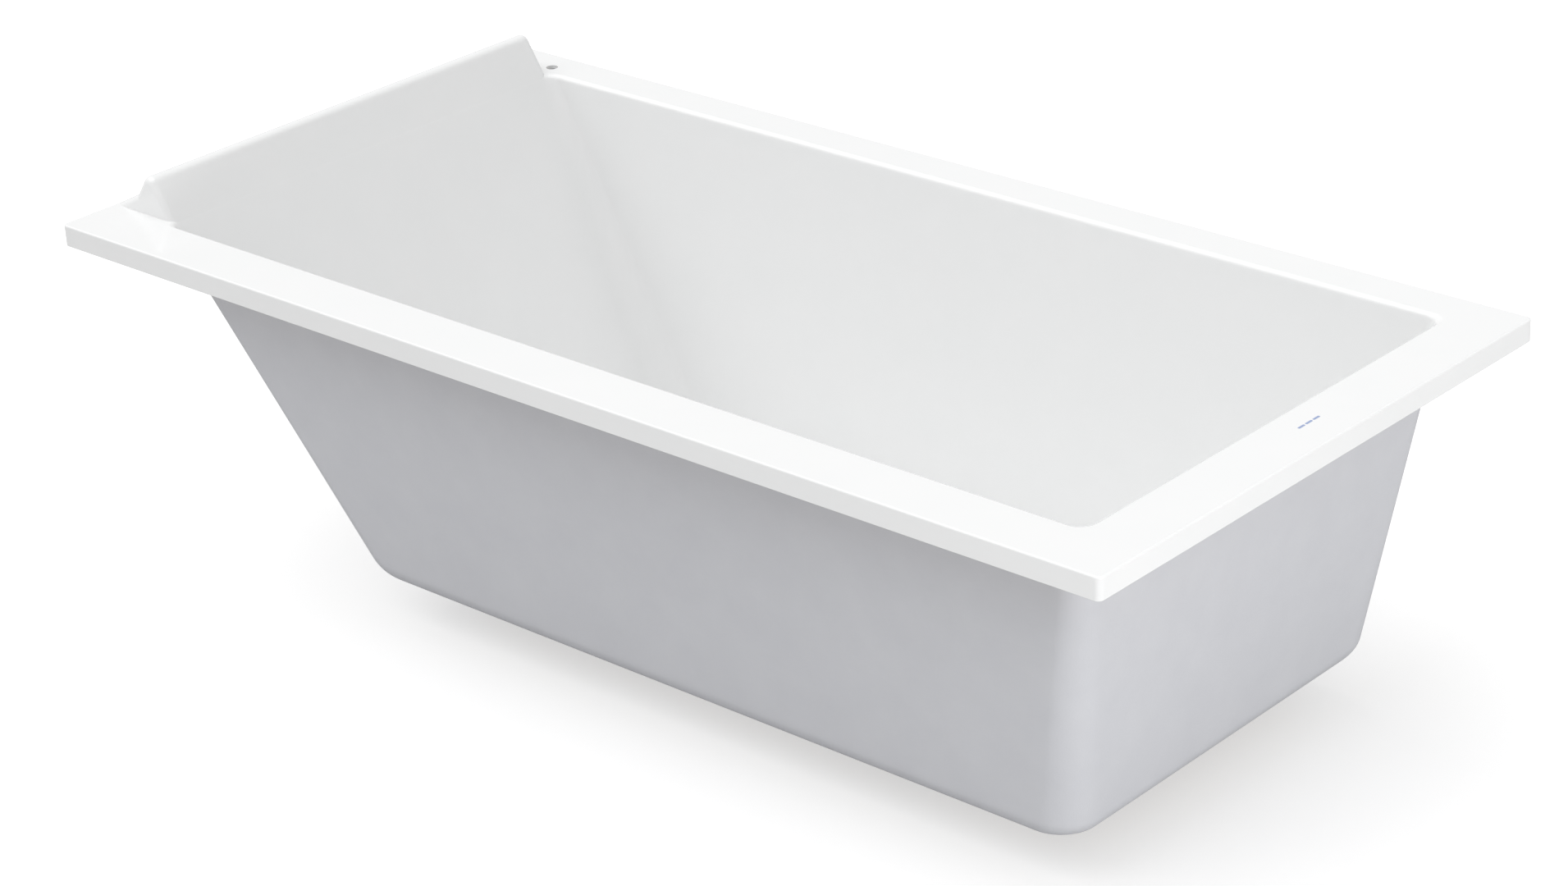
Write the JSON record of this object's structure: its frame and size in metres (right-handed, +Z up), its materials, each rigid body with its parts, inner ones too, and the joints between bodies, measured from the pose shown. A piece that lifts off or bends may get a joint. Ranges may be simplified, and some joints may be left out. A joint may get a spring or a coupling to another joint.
{
  "type": "built-in bathtub",
  "caption": "Rectangular acrylic bathtub with one sloping backrest rising above the rim, glass-fibre backed body, low levelling feet and a push-to-open waste.",
  "frame": {"origin": "on the floor, under the centre of the rim's rectangle", "axes": "+X along the tub towards the foot end, +Y across it towards the far (wall) side, +Z up"},
  "size_m": [1.8, 0.9, 0.594],
  "materials": {
    "acrylic": "glossy white sanitary acrylic",
    "glassfibre": "matt grey glass-fibre resin",
    "chipboard": "raw chipboard",
    "batten_wood": "sawn softwood",
    "galvanised": "zinc-plated",
    "rubber": "matt black",
    "chrome": "polished",
    "brass": "turned",
    "white_plastic": "moulded polypropylene"
  },
  "bodies": {
    "tub": {"acrylic_shell": "acrylic", "glassfibre_backing": "glassfibre", "base_board": "chipboard", "batten_near": "batten_wood", "batten_far": "batten_wood", "batten_foot": "batten_wood", "batten_head": "batten_wood", "leg_rail_head": "galvanised", "leg_rail_foot": "galvanised", "rail_screws": "galvanised", "threaded_bushes": "galvanised", "lock_nuts": "galvanised", "drain_flange": "chrome", "flange_seal": "rubber", "drain_gasket": "rubber", "drain_body": "white_plastic", "click_cartridge": "brass", "click_spring": "galvanised", "outlet_nut": "white_plastic", "outlet_seal": "rubber", "outlet_pipe": "white_plastic"},
    "plug": {"plug_cap": "chrome", "plug_seal": "rubber", "plug_stem": "brass"},
    "foot_hn": {"foot_head_near": "galvanised", "pad_head_near": "rubber"},
    "foot_hf": {"foot_head_far": "galvanised", "pad_head_far": "rubber"},
    "foot_fn": {"foot_foot_near": "galvanised", "pad_foot_near": "rubber"},
    "foot_ff": {"foot_foot_far": "galvanised", "pad_foot_far": "rubber"}
  },
  "joints": [
    {"name": "plug_lift", "type": "slide", "parent": "tub", "child": "plug", "axis": [0, 0, 1], "range_m": [0, 0.009], "deforming": ["click_spring"]},
    {"name": "level_head_near", "type": "slide", "parent": "tub", "child": "foot_hn", "axis": [0, 0, -1], "range_m": [0, 0.018]},
    {"name": "level_head_far", "type": "slide", "parent": "tub", "child": "foot_hf", "axis": [0, 0, -1], "range_m": [0, 0.018]},
    {"name": "level_foot_near", "type": "slide", "parent": "tub", "child": "foot_fn", "axis": [0, 0, -1], "range_m": [0, 0.018]},
    {"name": "level_foot_far", "type": "slide", "parent": "tub", "child": "foot_ff", "axis": [0, 0, -1], "range_m": [0, 0.018]}
  ]
}
